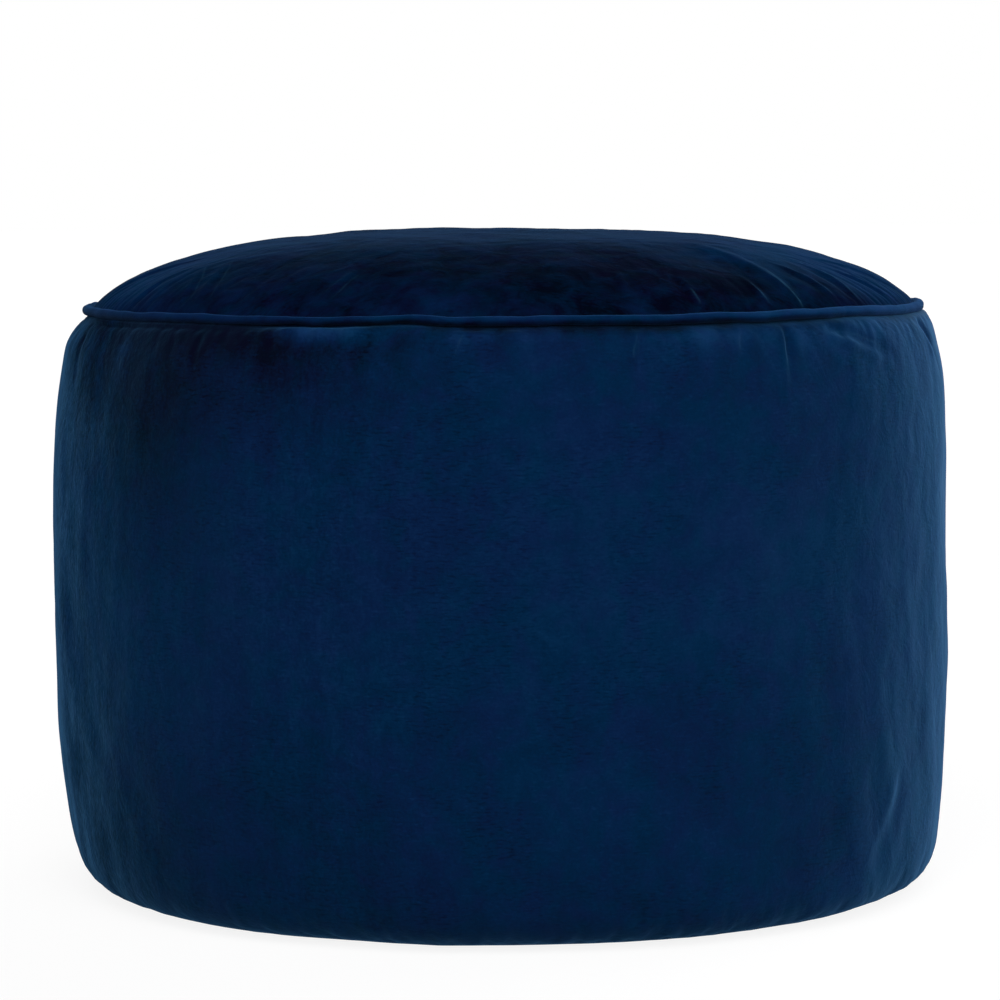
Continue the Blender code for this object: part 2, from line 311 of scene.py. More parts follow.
# Where the side's pile leans round towards +azimuth (above 0) or back: azimuth, height, half
# widths round and up, amount. The pile of the left half leans unevenly as well.
SIDE_LEANS = (
    (-155, 0.322, 0.031, 0.04, 0.33),
    (-160.5, 0.08, 0.009, 0.02, 0.22),
    (-152, 0.18, 0.008, 0.11, 0.06),
    (-151, 0.086, 0.014, 0.03, -0.1),
    (-170, 0.086, 0.012, 0.04, -0.1),
)
LEAN_WAVES = ((0.045, 0.012, 0.28, 43), (0.027, 0.03, 0.5, 44))
RUFFLE = 0.36
# How strongly the pile streaks downward on the side: azimuth, half width round, strength.
SIDE_STREAKS = (
    (-160, 0.09, 0.78),
    (-112, 0.06, 0.25),
    (-20, 0.085, 0.18),
    (100, 0.15, 0.22),
)
# Painted shade all round at each height: darker towards the floor, darkest at the foot.
SIDE_PAINTED_SHADE_HEIGHTS = (0, 0.006, 0.03, 0.11, 0.18, 0.225, 0.275)
SIDE_PAINTED_SHADE_AMOUNTS = (-0.36, -0.12, -0.1, -0.03, 0.05, 0.05, -0.01)
# Painted shade, a dark line in the tuck under the piping: height, half width, how dark. Its
# waves, and where it is broken or weaker: azimuth, half width, share taken off.
TUCK_PAINTED_SHADE = (0.318, 0.0034, 0.46)
TUCK_SHADE_WAVES = (0.35, 0.03, 41)
TUCK_SHADE_BROKEN = ((-108, 22, 0.85),)
TUCK_SHADE_WEAKER = ((-142, 48, 0.75), (-44, 34, 0.5))
MOST_TUCK_SHADE = 1.3
# Mottling near the seam.
MOTTLE_WAVES = ((0.13, 0.016, 0.7, 42),)
MOTTLE_REACH = 0.016
# Painted highlight on crests and painted shade in troughs: how much lighter or darker, for each
# metre of rise.
CREST_PAINTED_HIGHLIGHT = 60
TROUGH_PAINTED_SHADE = 100
# Painted shade along the closing seam's groove.
CLOSING_SEAM_PAINTED_SHADE = 0.22

# The piping along its length: azimuth, half width, amount. How much thinner it is (the narrow
# one is where its ends meet), how it is lifted, how strong the painted highlight along its crest
# is, the painted light on its upper half, the painted light and shade all over (darker to the left,
# lighter to the right), and where the painted shade along its foot is weaker.
PIPING_THINNER = (
    (-116, 44, 0.17),
    (-76, 34, 0.07),
    (-113, 17, 0.08),
    (-40, 0.5, 0.1),
)
PIPING_LIFTS = ((-110, 30, -0.0004), (-76, 34, -0.0002), (-28, 26, -0.0005))
PIPING_CREST_HIGHLIGHTS = ((-68, 40, 0.16), (-138, 34, -0.12))
PIPING_UPPER_LIGHT = ((-42, 30, 0.38),)
PIPING_PAINTED_LIGHT_AND_SHADE = ((-122, 48, -0.14), (-155, 30, -0.07), (-22, 30, 0.2))
PIPING_FOOT_SHADE_WEAKER = ((-142, 44, 0.75), (-30, 36, 0.75))
# Its uneven waves: height, length, seed.
THICKNESS_WAVES = (0.03, 0.02, 35)
SKIN_WAVES = (0.022, 0.012, 31)
SWAY_WAVES = (0.00022, 0.03, 32)
LIFT_WAVES = (0.00016, 0.04, 33)
PILE_WAVES = (0.05, 0.01, 34)
SKIN_RADIUS = 0.004
# Painted light and shade round its section: a highlight along its crest, shade on its lower half
# and underside, and light on its upper half.
CORD_CREST_HIGHLIGHT = 0.56
CORD_HIGHLIGHT_ANGLE = 80
CORD_HIGHLIGHT_HALF_WIDTH = 19
CORD_FOOT_SHADE = 0.36
FOOT_SHADE_BELOW = 0.5
FOOT_SHADE_REACH = 0.85
UNDERSIDE_SHADE = 0.1
UPPER_LIGHT_FROM = -0.3
UPPER_LIGHT_REACH = 0.6

AZIMUTH_STEPS = 900
SIDE_ROWS = 100
CROWN_GRID = 304
PIPING_SIDES = 24
VELVET_SEED = 7
WAVES = 28
PROFILE_CUTS = 12
ROW_CLOSENESS = 0.74
RIM_CLOSENESS = 1.18

# The cloth simulation: its rings, and the sizes that the cloth was cut to before it was sewn.
CLOTH_ROWS = 44
CLOTH_STEPS = 560
CROWN_RING_SHARES = 1 - 0.56 * np.linspace(0, 1, CLOTH_ROWS) ** 1.15
CROWN_CUT = 0.985
CROWN_SPANS = 400
CROWN_BENDING = 0.4
CROWN_GATHERING = 0.6
SIDE_CUT_RADIUS = 0.244
SIDE_BENDING = 0.4
SIDE_GATHERING = 0.5
SIDE_HELD_ABOVE = 0.316
SIDE_HELD_BELOW = 0.004
CLOTH_SETTINGS = {
    "vertex_group_mass": "held",
    "quality": 6,
    "mass": 0.2,
    "tension_stiffness": 30,
    "compression_stiffness": 30,
    "shear_stiffness": 8,
    "tension_damping": 8,
    "compression_damping": 8,
    "air_damping": 4,
    "use_pressure": True,
    "uniform_pressure_force": 30,
}
SEWING_FRAMES = 12
SETTLING_FRAMES = 28
MOST_GATHER = 0.0018
SIDE_LONG_WAVES = 5
CROWN_LONG_WAVES = 12
GATHERS_FREE = 0.15


# ---- small mathematics
def spline_weights(t):
    """The shares of four points in a row, this far from the second to the third."""
    return (
        0.5 * (-t + 2 * t**2 - t**3),
        0.5 * (2 - 5 * t**2 + 3 * t**3),
        0.5 * (t + 4 * t**2 - 3 * t**3),
        0.5 * (-(t**2) + t**3),
    )


def smooth_line(points, cuts):
    """A smooth line through all the points, with this many cuts in each span."""
    points = np.asarray(points, float)
    ends = np.vstack([2 * points[0] - points[1], points, 2 * points[-1] - points[-2]])
    weights = spline_weights(np.arange(cuts)[:, None] / cuts)
    fours = zip(ends, ends[1:], ends[2:], ends[3:])
    spans = [sum(weight * point for weight, point in zip(weights, four)) for four in fours]
    return np.vstack([*spans, points[-1]])


def run_along(steps):
    """How far along a line each point is, from the steps between them."""
    return np.concatenate([[0], np.cumsum(steps)])


def ramp(distance, length):
    """0 at no distance or less, rising evenly to 1 at this length."""
    return np.clip(distance / length, 0, 1)


def bell(distance, half_width):
    """1 at the middle, falling softly to 0 at the half width."""
    return (1 - ramp(np.abs(distance), half_width) ** 2) ** 2


def hump(distance, half_width):
    """1 at the middle, about a third at the half width, then less and less."""
    return np.exp(-((distance / half_width) ** 2))


def turn_from(azimuths, middle):
    """The smaller turn from the middle to each azimuth, in degrees."""
    return (azimuths - middle + 180) % 360 - 180


def bells_round(azimuths, bells):
    """The sum of bells round the ring: azimuth, half width in degrees, amount."""
    return sum(amount * bell(turn_from(azimuths, middle), width) for middle, width, amount in bells)


def arc(azimuths, middle, radius=SIDE_RADIUS):
    """How far round a ring each azimuth is from the middle one, in metres."""
    return turn_from(azimuths, middle) * pi / 180 * radius


def ways(turn):
    """The way outward at each turn."""
    return np.stack([np.cos(turn), np.sin(turn)], -1)


def ring_azimuths(count):
    return np.arange(count) * 360 / count + BACK


def ripples(points, height, wavelength, seed):
    """An uneven field of about this height: waves in random directions."""
    draw = np.random.default_rng(seed)
    directions = draw.normal(size=(WAVES, points.shape[-1]))
    directions /= np.linalg.norm(directions, axis=1)[:, None]
    lengths = wavelength * draw.uniform(0.7, 1.5, WAVES)
    phases = draw.uniform(0, 2 * pi, WAVES)
    field = np.zeros(points.shape[:-1])
    for direction, length, phase in zip(directions, lengths, phases):
        field += np.cos(points @ (direction * 2 * pi / length) + phase)
    return height * (field * np.sqrt(2 / WAVES))


def side_waves(places, waves):
    """Uneven waves on the drum: height, length, how squat, seed."""
    return sum(
        ripples(places * (1, 1, squat), height, length, seed)
        for height, length, squat, seed in waves
    )


def fold(across, along, start, end, half_width, depth, crest):
    """A fold's rise at each place: a trough along a line, with a crest on its positive side."""
    way = np.subtract(end, start)
    length = np.hypot(*way)
    x, y = across - start[0], along - start[1]
    share = np.clip((x * way[0] + y * way[1]) / length**2, 0, 1)
    aside = (x * way[1] - y * way[0]) / length * np.sign(half_width)
    beyond = np.hypot(x - way[0] * share, y - way[1] * share)
    width = abs(half_width)
    fade = np.sin(pi * share**FOLD_FULLEST)
    signed = np.where(aside < 0, -beyond, beyond)
    trough = -depth * np.exp(-((signed / width + FOLD_ASIDE) ** 2) / TROUGH_SPREAD)
    ridge = crest * np.exp(-((signed / width - FOLD_ASIDE) ** 2) / CREST_SPREAD)
    return (trough + ridge) * fade


def puckers(seed, ranges):
    """The azimuth, depth, half width, reach and slant of each pucker round the seam."""
    draw = np.random.default_rng(seed)
    azimuth = 0.0
    while azimuth < 360:
        azimuth += draw.uniform(*ranges[0])
        yield azimuth, *(draw.uniform(*between) for between in ranges[1:])


def pucker(away, inward, depth, width, reach, free):
    """How deep a pucker is, this far away from its middle and inward from the seam."""
    return depth * hump(away, width) * (ramp(inward, free) * np.exp(-((inward / reach) ** 1.5)))


def add_patches(total, azimuths, up, patches):
    """Adds soft patches: azimuth, height, half widths round and up, amount."""
    for azimuth, height, half_round, half_up, amount in patches:
        away = arc(azimuths, azimuth)[None, :]
        total += amount * np.exp(-((away / half_round) ** 2) - ((up - height) / half_up) ** 2)


# ---- mesh making
def mesh_object(name, vertices, faces):
    mesh = bpy.data.meshes.new(name)
    mesh.from_pydata(vertices.tolist(), [], faces)
    mesh.validate()
    piece = bpy.data.objects.new(name, mesh)
    bpy.context.scene.collection.objects.link(piece)
    mesh.shade_smooth()
    return piece


def band_faces(rows, columns):
    """Quads between rings of vertices, stored row after row."""
    row, column = np.meshgrid(np.arange(rows - 1), np.arange(columns), indexing="ij")
    here = row * columns + column
    beside = row * columns + (column + 1) % columns
    return np.stack([here, here + columns, beside + columns, beside], -1).reshape(-1, 4)


def closed_band(rows, columns):
    """The faces of a band of rings, with a flat face over each end."""
    last = (rows - 1) * columns
    ends = [list(range(columns)), list(range(last + columns - 1, last - 1, -1))]
    return band_faces(rows, columns).tolist() + ends


def level_rings(turn, rows):
    """Rings of places round the axis, one for each radius and height."""
    return [
        np.stack([AXIS_X + r * np.cos(turn), AXIS_Y + r * np.sin(turn), h + 0 * turn], -1)
        for r, h in rows
    ]


def add_values(piece, name, values, kind="FLOAT", field="value"):
    attribute = piece.data.attributes.new(name, kind, "POINT")
    attribute.data.foreach_set(field, np.asarray(values, np.float32).ravel())


def add_places(piece, places):
    """Gives the piece its cloth's own places."""
    add_values(piece, "cloth", places, "FLOAT_VECTOR", "vector")


# ---- the cloth simulation
def sewn_cloth(name, cut, sewn, faces, held, bending):
    """Where Blender's cloth puts each vertex of a piece that was cut to one shape. Its held
    vertices are drawn in to their sewn places while the filling presses the rest outward."""
    mesh = bpy.data.meshes.new(name)
    mesh.from_pydata(cut.reshape(-1, 3).tolist(), [], faces.tolist())
    trial = bpy.data.objects.new(name, mesh)
    scene = bpy.context.scene
    scene.collection.objects.link(trial)
    draw_in(trial, sewn)
    group = trial.vertex_groups.new(name="held")
    group.add([int(i) for i in held], 1.0, "REPLACE")
    add_cloth(trial, bending)
    for number in range(1, SETTLING_FRAMES + 1):
        scene.frame_set(number)
    settled = trial.evaluated_get(bpy.context.evaluated_depsgraph_get())
    places = np.empty(cut.size, np.float32)
    settled.data.vertices.foreach_get("co", places)
    scene.frame_set(1)
    bpy.data.objects.remove(trial)
    bpy.data.meshes.remove(mesh)
    for action in list(bpy.data.actions):
        bpy.data.actions.remove(action)
    return places.reshape(cut.shape).astype(float)


def draw_in(trial, sewn):
    """Moves the trial from its cut shape to its sewn one over the first frames."""
    trial.shape_key_add(name="cut")
    drawn_in = trial.shape_key_add(name="sewn", from_mix=False)
    drawn_in.data.foreach_set("co", np.asarray(sewn, np.float32).ravel())
    drawn_in.value = 0.0
    drawn_in.keyframe_insert("value", frame=1)
    drawn_in.value = 1.0
    drawn_in.keyframe_insert("value", frame=SEWING_FRAMES)


def add_cloth(trial, bending):
    cloth = trial.modifiers.new("cloth", "CLOTH")
    for setting, value in CLOTH_SETTINGS.items():
        setattr(cloth.settings, setting, value)
    cloth.settings.bending_stiffness = bending
    cloth.settings.effector_weights.gravity = 0
    cloth.collision_settings.use_collision = False
    cloth.point_cache.frame_start = 1
    cloth.point_cache.frame_end = SETTLING_FRAMES


def sample(table, rows, columns):
    """A table of rings, closed round, read smoothly at these row and column places."""
    first_row, first_column = np.floor(rows).astype(int), np.floor(columns).astype(int)
    total = 0.0
    for i, row_weight in enumerate(spline_weights(rows - first_row)):
        row = np.clip(first_row + i - 1, 0, len(table) - 1)
        for j, column_weight in enumerate(spline_weights(columns - first_column)):
            column = (first_column + j - 1) % table.shape[1]
            total = total + (row_weight * column_weight)[..., None] * table[row, column]
    return total


def cloth_ways(shape):
    """The turn of each step round the cloth's rings, and the way outward there."""
    turn = (np.arange(CLOTH_STEPS) * 2 * pi / CLOTH_STEPS + pi / 2)[None, :]
    return turn, ways(turn + 0 * shape)


def uneven(rings, long_waves):
    """What is left of each closed ring of values without its mean and its longest waves."""
    waves = np.fft.rfft(rings, axis=1)
    waves[:, :long_waves] = 0
    return np.fft.irfft(waves, rings.shape[1], axis=1)


def uneven_moves(settled, middle, out, long_waves):
    """How far the settled cloth stands out from, and above, its own smooth rings."""
    bulge = ((settled[..., :2] - middle) * out).sum(-1)
    rise = uneven(settled[..., 2], long_waves)[..., None]
    return np.concatenate([uneven(bulge, long_waves)[..., None] * out, rise], -1)


def capped(moves, most):
    """The same moves, with none longer than the most."""
    length = np.linalg.norm(moves, axis=-1, keepdims=True) + 1e-9
    return moves * most * np.tanh(length / most) / length


# ---- the side
def side_profile(count):
    """Rows from the seam down to the base: mean radius, lean to the right, height."""
    points = []
    for turn in map(radians, GROOVE_ANGLES):
        radius = PIPING_RING_RADIUS + GROOVE_RADIUS * cos(turn)
        points.append((radius, SEAM_SHIFT, SEAM_HEIGHT + GROOVE_RADIUS * sin(turn)))
    for height, left, right in reversed(SIDE_SECTIONS):
        points.append(((left + right) / 2, (right - left) / 2, height))
    line = smooth_line(points, PROFILE_CUTS)
    line[:, 2] = np.maximum(line[:, 2], 0.0)
    length = profile_drop(line)
    share = np.linspace(0, 1, count)
    place = length[-1] * (share - ROW_CLOSENESS * np.sin(2 * pi * share) / (2 * pi))
    return np.stack([np.interp(place, length, line[:, i]) for i in range(3)], -1)


def profile_drop(profile):
    """How far down the cloth each row is from the first."""
    return run_along(np.linalg.norm(np.diff(profile[:, [0, 2]], axis=0), axis=1))


def side_place(azimuth, height):
    """A place on the side's cloth."""
    return (arc(azimuth, FRONT), height)


def drum_places(turn, up):
    """Places on a plain drum, for waves that run round it without a break."""
    places = np.stack([np.cos(turn) + 0 * up, np.sin(turn) + 0 * up, up / SIDE_RADIUS], -1)
    return places * SIDE_RADIUS


def closing_seam(azimuths, up):
    """How far the side's closing seam draws the cloth in, and 1 along its groove."""
    azimuth, half_width, depth, pucker_depth = CLOSING_SEAM
    away = arc(azimuths, azimuth)[None, :]
    groove = hump(away, half_width)
    each_side = np.stack([np.sign(away) * SIDES_APART + 0 * up, up + 0 * away], -1)
    puckered = pucker_depth * hump(away, PUCKERS_WIDER * half_width)
    return depth * groove + puckered * (1 + ripples(each_side, *CLOSING_WAVES)), groove


def side_folds(azimuths, along, up):
    """How far the side's folds, lumps and puckers stand out from its smooth skin."""
    folds = np.zeros_like(up)
    girth = 2 * pi * SIDE_RADIUS
    for upper, upper_height, lower, lower_height, width, depth, crest in SIDE_FOLDS:
        start = side_place(upper, upper_height)
        end = (start[0] + arc(lower, upper), lower_height)
        for wrap in (-girth, 0, girth):
            folds += fold(along + wrap, up, start, end, width, depth, crest)
    add_patches(folds, azimuths, up, SIDE_LUMPS)
    calm = 1 - bells_round(azimuths, SIDE_CALM)
    below_seam = SEAM_HEIGHT - up
    for azimuth, depth, width, reach, slant in puckers(VELVET_SEED, SIDE_PUCKERS):
        away = arc(azimuths, azimuth)[None, :] + slant * below_seam
        folds -= pucker(away, below_seam, depth, width, reach, SIDE_PUCKERS_FREE) * calm
    return folds


def side_surface(rows, columns):
    """The side's skin from the seam down, with what its textures need."""
    profile = side_profile(rows)
    azimuths = ring_azimuths(columns)
    radius, lean, height = (profile[:, i : i + 1] for i in range(3))
    tangent = np.gradient(profile[:, [0, 2]], axis=0)
    tangent /= np.linalg.norm(tangent, axis=1)[:, None]
    out_radius, out_height = -tangent[:, 1:2], tangent[:, 0:1]
    turn = np.radians(azimuths)[None, :]
    along = arc(azimuths, FRONT)[None, :] + 0 * radius
    up = height + 0 * along

    folds = side_folds(azimuths, along, up)
    swell = side_waves(drum_places(turn, up), SIDE_SWELLS)
    held = SEAM_HEIGHT - SEAM_HOLD - up
    free = ramp(held, SWELL_FREE) * ramp(up, FOOT_FREE)
    rise = folds * ramp(held, FOLDS_FREE) * ramp(up, FOOT_FREE)
    rise = rise + (swell - closing_seam(azimuths, up)[0]) * free

    low = np.exp(-up / FOOT_REACH) * ramp(up, FOOT_EDGE)
    foot = FOOT_SQUARENESS * np.cos(4 * turn) + bells_round(azimuths, FOOT_DRAWN_IN)
    ring = (radius + rise * out_radius) * (1 - foot * low)
    fill = bells_round(azimuths, GROOVE_FILLS)[None, :]
    ring += fill * ramp(up - FILLED_ABOVE, PIPING_LOW.z - FILLED_ABOVE)
    lift = ramp(up, SIDE_SECTIONS[-1][0]) ** 6
    x = AXIS_X + lean + ring * np.cos(turn)
    y = AXIS_Y + ring * np.sin(turn)
    z = up + rise * out_height + bells_round(azimuths, SEAM_RISES)[None, :] * lift
    return np.stack([x, y, z], -1), folds, along, up


def side_gathers():
    """How far the sewn cloth stands out from a smooth side, as rings from the seam down."""
    rows, columns = CLOTH_ROWS, CLOTH_STEPS
    sewn, folds, _, up = side_surface(rows, columns)
    drop = profile_drop(side_profile(rows))[:, None]
    turn, out = cloth_ways(drop)
    tube = SIDE_CUT_RADIUS + folds
    height = (SEAM_HEIGHT + drop[-1]) / 2 - drop + 0 * turn
    cut = np.stack([AXIS_X + tube * out[..., 0], AXIS_Y + tube * out[..., 1], height], -1)
    held = np.flatnonzero(((up > SIDE_HELD_ABOVE) | (up < SIDE_HELD_BELOW)).ravel())
    settled = sewn_cloth("side_trial", cut, sewn, band_faces(rows, columns), held, SIDE_BENDING)
    moves = uneven_moves(settled, (AXIS_X, AXIS_Y), out, SIDE_LONG_WAVES)
    calm = 1 - bells_round(np.degrees(turn), SIDE_CALM)
    return capped(SIDE_GATHERING * calm[..., None] * moves, MOST_GATHER)


def side_pile_and_painted_light(azimuths, places, up, folds):
    """How much lighter or darker than the rest the side looks at each place: the pile's own patches
    and mottling, with painted shade in the tuck under the piping, towards the floor and along the
    closing seam, and painted highlight on crests.
    """
    pile_and_painted_light = np.zeros_like(up)
    add_patches(pile_and_painted_light, azimuths, up, SIDE_PILE_AND_PAINTED_LIGHT)
    # Painted shade, darker towards the floor.
    pile_and_painted_light += np.interp(up, SIDE_PAINTED_SHADE_HEIGHTS, SIDE_PAINTED_SHADE_AMOUNTS)
    # Painted shade in the tuck under the piping.
    height, half_width, darker = TUCK_PAINTED_SHADE
    tuck_shade = 1 - bells_round(azimuths, TUCK_SHADE_BROKEN) + ripples(places[0], *TUCK_SHADE_WAVES)
    tuck_shade *= 1 - bells_round(azimuths, TUCK_SHADE_WEAKER)
    pile_and_painted_light -= darker * np.clip(tuck_shade, 0, MOST_TUCK_SHADE) * hump(up - height, half_width)
    mottle = np.exp(-np.clip(SEAM_HEIGHT - up, 0, 1) / MOTTLE_REACH)
    pile_and_painted_light += side_waves(places, MOTTLE_WAVES) * mottle
    # Painted highlight on the folds' crests.
    pile_and_painted_light += CREST_PAINTED_HIGHLIGHT * np.maximum(folds, 0)
    # Painted shade along the closing seam's groove.
    pile_and_painted_light -= CLOSING_SEAM_PAINTED_SHADE * closing_seam(azimuths, up)[1]
    return pile_and_painted_light


def side_panel():
    rows, columns = SIDE_ROWS, AZIMUTH_STEPS
    skin, folds, along, up = side_surface(rows, columns)
    azimuths = ring_azimuths(columns)
    turn = np.radians(azimuths)[None, :]
    ring, step = np.meshgrid(
        np.linspace(0, CLOTH_ROWS - 1, rows),
        np.arange(columns) * CLOTH_STEPS / columns,
        indexing="ij",
    )
    skin = skin + sample(side_gathers(), ring, step)
    under = level_rings(turn[0], [(BASE_RADIUS + out, height) for out, height in UNDER_EDGE])
    skin = np.concatenate([skin, under], 0)
    faces = closed_band(len(skin), columns)
    piece = mesh_object("side_panel_velvet", skin.reshape(-1, 3), faces)

    places = drum_places(turn, up)
    streaky = sum(
        amount * hump(arc(azimuths, middle), half_round)
        for middle, half_round, amount in SIDE_STREAKS
    )
    lean = streaky * side_waves(places, LEAN_WAVES)
    add_patches(lean, azimuths, up, SIDE_LEANS)
    plain = np.zeros((len(under), columns))
    # The side's pile, with its painted shade and painted light, for the velvet's tone.
    add_values(piece, "pile_and_painted_light", np.concatenate([side_pile_and_painted_light(azimuths, places, up, folds), plain], 0))
    add_values(piece, "streaky", np.tile(streaky, len(skin)))
    add_values(piece, "lean", np.concatenate([lean, plain], 0))
    cloth = np.stack([along, up, 0 * up], -1)
    add_places(piece, np.concatenate([cloth, cloth[-1:].repeat(len(under), 0)], 0))
    return piece


# ---- the crown
def disc_places(count):
    """A square grid of count by count places, drawn evenly onto a unit disc."""
    a, b = np.meshgrid(np.linspace(-1, 1, count), np.linspace(-1, 1, count), indexing="ij")
    wide = np.abs(a) >= np.abs(b)
    radius = np.where(wide, a, b)
    safe = np.where(radius == 0, 1, radius)
    turn = np.where(wide, pi / 4 * b / safe, pi / 2 - pi / 4 * a / safe)
    return radius * np.cos(turn), radius * np.sin(turn)


def crown_height(share):
    return CROWN_RISE * (1 - np.clip(share, 0, 1) ** CROWN_FULLNESS) ** CROWN_ROUNDNESS


def crown_place(azimuth, share):
    """A place in plan, at this share of the rim's radius."""
    turn = radians(azimuth)
    return (RIM_RADIUS * share * cos(turn), RIM_RADIUS * share * sin(turn))


def crown_plan(n):
    """The crown's n by n places in plan, a little closer together at the rim."""
    unit_x, unit_y = disc_places(n)
    share = np.hypot(unit_x, unit_y)
    closer = 1 - (1 - np.clip(share, 0, 1)) ** RIM_CLOSENESS
    scale = np.where(share > 0, closer / np.where(share > 0, share, 1), RIM_CLOSENESS)
    return unit_x * scale * RIM_RADIUS, unit_y * scale * RIM_RADIUS


def crown_folds(x, y, share, azimuths):
    """How far the crown's creases and puckers rise above its smooth skin."""
    folds = np.zeros_like(x)
    for outer, outer_share, inner, inner_share, width, depth, crest in CROWN_CREASES:
        start, end = crown_place(outer, outer_share), crown_place(inner, inner_share)
        folds += fold(x, y, start, end, width, depth, crest)
    inward = RIM_RADIUS * (1 - share)
    for azimuth, depth, width, reach, slant in puckers(VELVET_SEED + 1, CROWN_PUCKERS):
        away = arc(azimuths, azimuth, RIM_RADIUS) * share + slant * inward
        depth = DEEPEST_CROWN_PUCKER * depth**2
        folds -= pucker(away, inward, depth, width, reach, CROWN_PUCKERS_FREE)
    return folds


def crown_surface(x, y):
    """The crown's skin over these places in plan, and how far its creases rise."""
    share = np.clip(np.hypot(x, y) / RIM_RADIUS, 0, 1)
    azimuths = np.degrees(np.arctan2(y, x))
    folds = crown_folds(x, y, share, azimuths)
    plan = np.stack([x, y], -1)
    swell = sum(ripples(plan, *waves) for waves in CROWN_SWELLS)
    inward = RIM_RADIUS * (1 - share)
    rise = folds * ramp(inward, CREASES_FREE) + swell * ramp(inward, CROWN_SWELL_FREE)
    near_rim = share**4
    z = SEAM_HEIGHT + GAP / 2 + crown_height(share) + rise
    z = z + bells_round(azimuths, SEAM_RISES) * near_rim
    z = z - CROWN_TILT * x * (1 - near_rim)
    azimuth, half_width, depth = CROWN_SAG
    sagging = bell(turn_from(azimuths, azimuth), half_width)
    z = z - depth * 4 * share**2 * (1 - share**2) * sagging
    return np.stack([AXIS_X + SEAM_SHIFT + x, AXIS_Y + y, z], -1), folds


def crown_gathers():
    """How far the sewn cloth stands out from a smooth crown, as rings from the rim inward."""
    rows, columns = CLOTH_ROWS, CLOTH_STEPS
    share = CROWN_RING_SHARES[:, None]
    turn, out = cloth_ways(share)
    sewn, folds = crown_surface(RIM_RADIUS * share * out[..., 0], RIM_RADIUS * share * out[..., 1])
    along = np.linspace(0, 1, CROWN_SPANS)
    length = run_along(np.hypot(np.diff(along) * RIM_RADIUS, np.diff(crown_height(along))))
    reach = np.interp(share, along, length) * CROWN_CUT
    middle = (AXIS_X + SEAM_SHIFT, AXIS_Y)
    flat = middle + reach[..., None] * out
    inner = sewn[-1, :, 2].mean()
    cut = np.concatenate([flat, (inner + folds)[..., None]], -1)
    held = np.concatenate([np.arange(columns), (rows - 1) * columns + np.arange(columns)])
    faces = band_faces(rows, columns)[:, ::-1]
    settled = sewn_cloth("crown_trial", cut, sewn, faces, held, CROWN_BENDING)
    moves = uneven_moves(settled, middle, out, CROWN_LONG_WAVES)
    fade = ramp(share - CROWN_RING_SHARES[-1], GATHERS_FREE)
    fade = fade * (1 - bells_round(np.degrees(turn), CROWN_CALM))
    return capped(CROWN_GATHERING * fade[..., None] * moves, MOST_GATHER)


def crown_faces(n):
    """The faces of a grid of n by n vertices, and the flat one that closes it underneath."""
    index = np.arange(n * n).reshape(n, n)
    faces = np.stack([index[:-1, :-1], index[1:, :-1], index[1:, 1:], index[:-1, 1:]], -1)
    rim = np.concatenate([index[:, 0], index[-1, 1:], index[-2::-1, -1], index[0, -2:0:-1]])
    return faces.reshape(-1, 4).tolist() + [rim[::-1].tolist()]


def top_panel():
    x, y = crown_plan(CROWN_GRID)
    skin, folds = crown_surface(x, y)
    share = np.hypot(x, y) / RIM_RADIUS
    azimuths = np.degrees(np.arctan2(y, x))
    ring = np.interp(share, CROWN_RING_SHARES[::-1], np.arange(CLOTH_ROWS)[::-1])
    step = (azimuths - BACK) % 360 * CLOTH_STEPS / 360
    skin = skin + sample(crown_gathers(), ring, step)
    piece = mesh_object("top_panel_velvet", skin.reshape(-1, 3), crown_faces(CROWN_GRID))

    pile_and_painted_light = np.zeros_like(x)
    # Painted shade on the crown's front and painted light on its right, among the pile's own
    # patches.
    for azimuth, middle, half_round, half_out, amount in CROWN_PILE_AND_PAINTED_LIGHT:
        away = arc(azimuths, azimuth, RIM_RADIUS) * share
        outward = (share - middle) * RIM_RADIUS
        pile_and_painted_light += amount * np.exp(-((away / half_round) ** 2) - (outward / half_out) ** 2)
    # Painted highlight on the creases' crests and painted shade in their troughs.
    pile_and_painted_light += CREST_PAINTED_HIGHLIGHT * np.maximum(folds, 0) + TROUGH_PAINTED_SHADE * np.minimum(folds, 0)
    add_values(piece, "pile_and_painted_light", pile_and_painted_light)
    add_places(piece, np.stack([x, y, 0 * x], -1))
    return piece


# ---- piping and base
def piping_pile_and_painted_light(azimuths, section, on_cord):
    """The cord's uneven pile, with painted highlight along its crest, painted shade on its lower
    half and painted light on its upper half.
    """
    height = np.sin(section)
    crest = CORD_CREST_HIGHLIGHT + bells_round(azimuths, PIPING_CREST_HIGHLIGHTS)
    wear_and_foot_shade = 1 - bells_round(azimuths, PIPING_FOOT_SHADE_WEAKER)
    pile_and_painted_light = ripples(on_cord, *PILE_WAVES)
    # Painted highlight along the crest, painted shade on the lower half, painted light on the upper
    # half.
    pile_and_painted_light += crest[:, None] * hump(np.degrees(section) - CORD_HIGHLIGHT_ANGLE, CORD_HIGHLIGHT_HALF_WIDTH)
    pile_and_painted_light -= CORD_FOOT_SHADE * ramp(FOOT_SHADE_BELOW - height, FOOT_SHADE_REACH) * wear_and_foot_shade[:, None]
    pile_and_painted_light -= UNDERSIDE_SHADE * ramp(-height, 1)
    pile_and_painted_light += bells_round(azimuths, PIPING_UPPER_LIGHT)[:, None] * ramp(height - UPPER_LIGHT_FROM, UPPER_LIGHT_REACH)
    return pile_and_painted_light + bells_round(azimuths, PIPING_PAINTED_LIGHT_AND_SHADE)[:, None]


